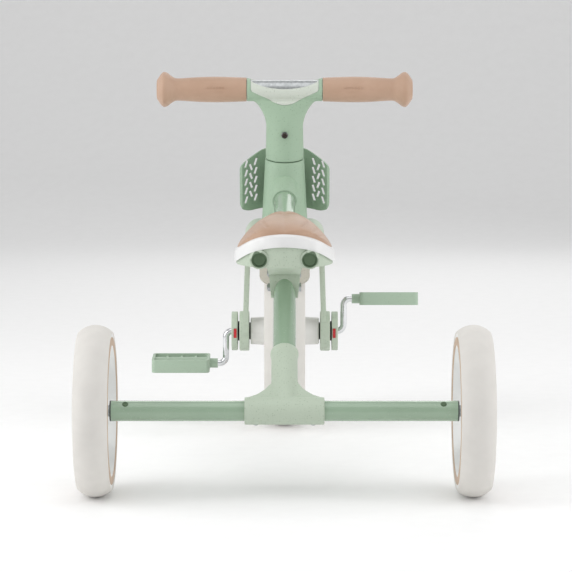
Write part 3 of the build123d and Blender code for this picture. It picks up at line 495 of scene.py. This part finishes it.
def crescentCutter(gap):
    # a prism over the cover's outline as seen from behind, in the steering frame
    half, sag = barSet["coverHalf"] - gap, barSet["coverSag"] - gap
    rise = barSet["height"] + gap * 0.4
    lower = smoothChain(
        [(-half + 1.5, rise + 0.5), (-half * 0.62, rise - sag * 0.42), (-half * 0.27, rise - sag * 0.86),
         (0, rise - sag), (half * 0.27, rise - sag * 0.86), (half * 0.62, rise - sag * 0.42),
         (half - 1.5, rise + 0.5)], 6
    )
    top = rise + barSet["cutTop"]
    outline = lower + [(half, rise + 3), (half, top), (-half, top), (-half, rise + 3)]
    bpy.ops.object.select_all(action="DESELECT")
    bpy.ops.mesh.primitive_circle_add(vertices=len(outline), radius=1, fill_type="NGON", location=(0, 0, 0))
    cutter = bpy.context.object
    for vertex, (x, z) in zip(cutter.data.vertices, outline):
        vertex.co = (x * mm, -barSet["depth"] * mm, z * mm)
    bpy.ops.object.mode_set(mode="EDIT")
    bpy.ops.mesh.select_all(action="SELECT")
    bpy.ops.mesh.extrude_region_move(
        TRANSFORM_OT_translate={"value": (0, 2 * barSet["depth"] * mm, 0)}
    )
    bpy.ops.mesh.select_all(action="SELECT")
    bpy.ops.mesh.normals_make_consistent(inside=False)
    bpy.ops.object.mode_set(mode="OBJECT")
    cutter.matrix_world = steerMatrix
    settle(cutter)
    return cutter


def handlebarPieces():
    body = copyOfNode("handlebar", "stemMoulding")
    cover = copyOfNode("handlebar_cover", "coverCopy")
    activate(body)
    cover.select_set(True)
    bpy.ops.object.join()
    # the two moulded parts become one skin, smoothed, and are then cut apart along the crescent
    applyModifier(body, "REMESH", {"mode": "VOXEL", "voxel_size": barSet["voxel"] * mm})
    applyModifier(body, "SMOOTH", {"factor": 0.5, "iterations": barSet["smooth"]})
    cover = bpy.data.objects.new("handlebarCover", body.data.copy())
    bpy.context.collection.objects.link(cover)
    for piece, operation, gap in ((body, "DIFFERENCE", 0.0), (cover, "INTERSECT", barSet["gap"])):
        cutter = crescentCutter(gap)
        applyModifier(piece, "BOOLEAN", {"operation": operation, "object": cutter, "solver": "EXACT"})
        bpy.data.objects.remove(cutter)
    dress(body, "handlebar", 40)
    dress(cover, "handlebar_cover", 40)


handlebarPieces()
print("handlebar modelled")


# ---------- seat ----------
seatSet = {
    "voxel": 1.6,
    "smooth": 8,
    "fullness": 4.0,
    "groove": 0.9,
    "grooveWidth": 2.4,
    "grooveInset": (9.0, 15.0, 26.0),
    "grooveSpan": (0.06, 0.9),
}


def seatCushion():
    pad = copyOfNode("seat_pad", "seatCushion")
    applyModifier(pad, "REMESH", {"mode": "VOXEL", "voxel_size": seatSet["voxel"] * mm})
    applyModifier(pad, "SMOOTH", {"factor": 0.5, "iterations": seatSet["smooth"]})
    applyModifier(pad, "SUBSURF", {"levels": 1, "render_levels": 1})
    low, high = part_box("seat_pad")
    middle, half, length = (low.x + high.x) / 2, (high.x - low.x) / 2, high.y - low.y
    uprights = [vertex.normal.z for vertex in pad.data.vertices]
    for vertex, upright in zip(pad.data.vertices, uprights):
        # the foam stands fuller along the flanks than its core does
        reach = min(1.0, abs(vertex.co.x - middle) / half)
        if upright > 0.15:
            share = min(1.0, (upright - 0.15) / 0.3)
            vertex.co.z += seatSet["fullness"] * mm * math.sin(math.pi * reach) * share
        # two shallow moulded channels follow the edge of the seat, one inside the other
        along = (vertex.co.y - low.y) / length
        # the pad's own half width at this length: full over the rear, narrowing to the nose
        rounding = math.sqrt(max(0.0, 1 - (2 * along - 0.75) ** 2 / 1.65))
        widthHere = half * rounding * (1 - 0.62 * max(0.0, along - 0.3))
        inset = (widthHere - abs(vertex.co.x - middle)) / mm
        for line in seatSet["grooveInset"]:
            fall = math.exp(-(((inset - line) / (seatSet["grooveWidth"] / 2)) ** 2))
            if upright > 0.3 and seatSet["grooveSpan"][0] < along < seatSet["grooveSpan"][1]:
                vertex.co.z -= seatSet["groove"] * mm * fall
    dress(pad, "seat_pad", 60)


seatCushion()

# a soft plug closes each push-bar socket, just inside its mouth; its dark green is painted shade, standing
# for the shadow deep inside the socket
plugSet = {"gap": 0.12, "depth": 5.0, "dish": 0.7, "inset": 1.2, "edge": 0.5}
for mount in record["mounts"]:
    plugRadius = mount["dims"]["r_mm"] - plugSet["gap"]
    face, back = -plugSet["inset"], -plugSet["inset"] - plugSet["depth"]
    edge, dish = plugSet["edge"], face - plugSet["dish"]
    plugOutline = [
        (back, 0.0),
        (back, plugRadius),
        (face - edge, plugRadius),
        (face, plugRadius - edge),
        (face, plugRadius - 3 * edge),
        (dish, plugRadius - 5 * edge),
        (dish, 0.0),
    ]
    plug = spun("socketShadePlug_" + mount["name"], plugOutline, (0, 0, 0), 64)
    outward = Vector(mount["axis"])
    mouth = Vector(mount["pos_m"]) + outward * mount["dims"]["length_mm"] * mm / 2
    plug.matrix_world = Matrix.Translation(mouth) @ outward.to_track_quat("X", "Z").to_matrix().to_4x4()
    settle(plug)
    bpy.ops.object.shade_smooth_by_angle(angle=math.radians(40))
    # dark green here is painted shade for the socket's shadowed inside
    plug.data.materials.append(finishes["dark_green_plastic"])
    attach(plug, "frame")
print("seat modelled")

# ---------- softened mouldings ----------
teeSet = {"voxel": 1.1, "smooth": 9}
tee = copyOfNode("rear_tee", "teeMoulding")
applyModifier(tee, "REMESH", {"mode": "VOXEL", "voxel_size": teeSet["voxel"] * mm})
applyModifier(tee, "SMOOTH", {"factor": 0.5, "iterations": teeSet["smooth"]})
dress(tee, "rear_tee", 50)

softSet = {
    "crank_housing_left": ("crankHousingShell_left", 1.6),
    "crank_housing_right": ("crankHousingShell_right", 1.6),
    "seat_trim": ("seatTrimBand", 0.7),
    "seat_base": ("seatBaseShell", 0.7),
    "seat_bracket": ("seatBracketMoulding", 0.8),
    "fork": ("forkMoulding", 0.9),
    "front_fender": ("frontMudguard", 0.7),
    "fairing": ("fairingShield", 0.45),
    "head_housing": ("headHousingShell", 0.6),
    "pedal_left": ("pedalMoulding_left", 0.6),
    "pedal_right": ("pedalMoulding_right", 0.6),
}
for nodeName, (pieceName, width) in softSet.items():
    softEdged(nodeName, pieceName, width)
print("mouldings softened")
